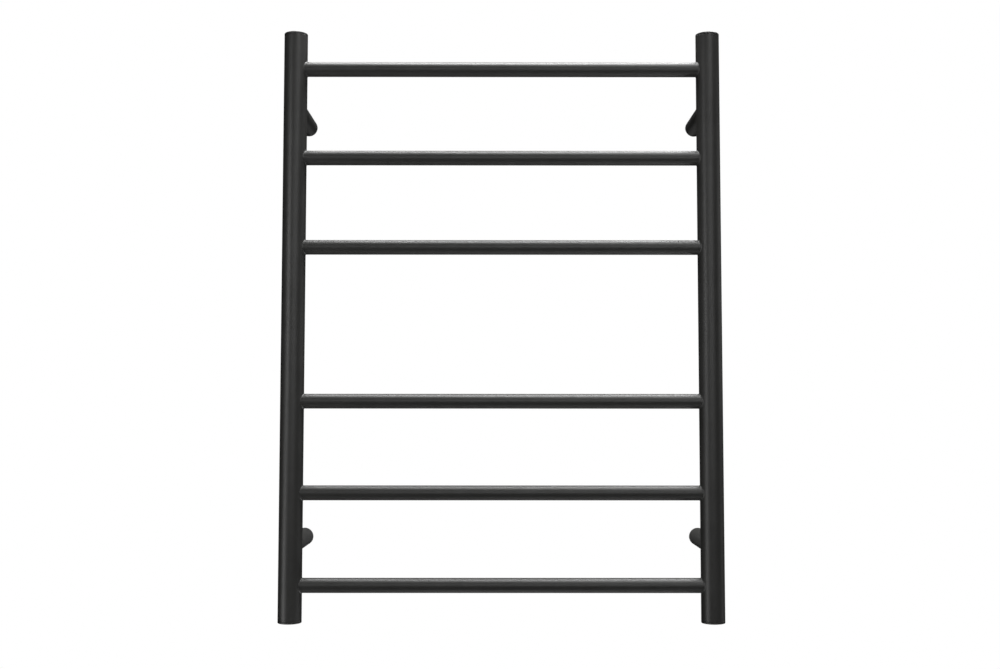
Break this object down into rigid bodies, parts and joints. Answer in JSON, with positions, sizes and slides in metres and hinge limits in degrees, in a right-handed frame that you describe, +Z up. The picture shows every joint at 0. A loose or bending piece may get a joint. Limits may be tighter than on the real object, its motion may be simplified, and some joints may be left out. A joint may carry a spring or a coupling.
{
  "type": "towel warmer rack",
  "caption": "Wall-mounted heated towel ladder: two round uprights on stand-off posts carry two groups of round towel bars.",
  "frame": {"origin": "on the wall, midway between the four wall fixings", "axes": "+Z up along the uprights, +X to the viewer's right along the bars, +Y into the wall; the front faces -Y"},
  "size_m": [0.6, 0.138, 0.803],
  "materials": {
    "powder_coat": "matte black powder coat with a fine even texture",
    "turned_steel": "plain turned steel",
    "black_oxide": "blackened steel",
    "grommet_rubber": "black rubber",
    "cable_silicone": "brick red silicone sheath",
    "shrink_sleeve": "black shrink sleeve",
    "cutout_phenolic": "cream phenolic",
    "brass": "plain brass"
  },
  "bodies": {
    "wall_fixings": {"wall_spigot_upper_left": "turned_steel", "wall_spigot_lower_left": "turned_steel", "wall_spigot_upper_right": "turned_steel", "wall_spigot_lower_right": "turned_steel"},
    "rack": {"left_upright": "powder_coat", "right_upright": "powder_coat", "top_left_cap": "powder_coat", "bottom_left_cap": "powder_coat", "top_right_cap": "powder_coat", "bottom_right_cap": "powder_coat", "towel_bar_1": "powder_coat", "towel_bar_2": "powder_coat", "towel_bar_3": "powder_coat", "towel_bar_4": "powder_coat", "towel_bar_5": "powder_coat", "towel_bar_6": "powder_coat", "post_upper_left": "powder_coat", "post_lower_left": "powder_coat", "post_upper_right": "powder_coat", "post_lower_right": "powder_coat", "socket_bush_upper_left": "turned_steel", "socket_bush_lower_left": "turned_steel", "socket_bush_upper_right": "turned_steel", "socket_bush_lower_right": "turned_steel", "flex_grommet": "grommet_rubber", "heating_cable": "cable_silicone", "thermal_cutout": "cutout_phenolic", "supply_splice": "shrink_sleeve", "cable_end_seal": "shrink_sleeve", "earth_stud": "brass", "earth_lug": "brass", "earth_nut": "brass"},
    "grub_upper_left": {"grub_screw_upper_left": "black_oxide"},
    "grub_lower_left": {"grub_screw_lower_left": "black_oxide"},
    "grub_upper_right": {"grub_screw_upper_right": "black_oxide"},
    "grub_lower_right": {"grub_screw_lower_right": "black_oxide"}
  },
  "joints": [
    {"name": "rack_take_off", "type": "slide", "parent": "wall_fixings", "child": "rack", "axis": [0, -1, 0], "range_m": [0, 0.016]},
    {"name": "grub_upper_left_slacken", "type": "slide", "parent": "rack", "child": "grub_upper_left", "axis": [0, 0, -1], "range_m": [0, 0.0024]},
    {"name": "grub_lower_left_slacken", "type": "slide", "parent": "rack", "child": "grub_lower_left", "axis": [0, 0, -1], "range_m": [0, 0.0024]},
    {"name": "grub_upper_right_slacken", "type": "slide", "parent": "rack", "child": "grub_upper_right", "axis": [0, 0, -1], "range_m": [0, 0.0024]},
    {"name": "grub_lower_right_slacken", "type": "slide", "parent": "rack", "child": "grub_lower_right", "axis": [0, 0, -1], "range_m": [0, 0.0024]}
  ]
}
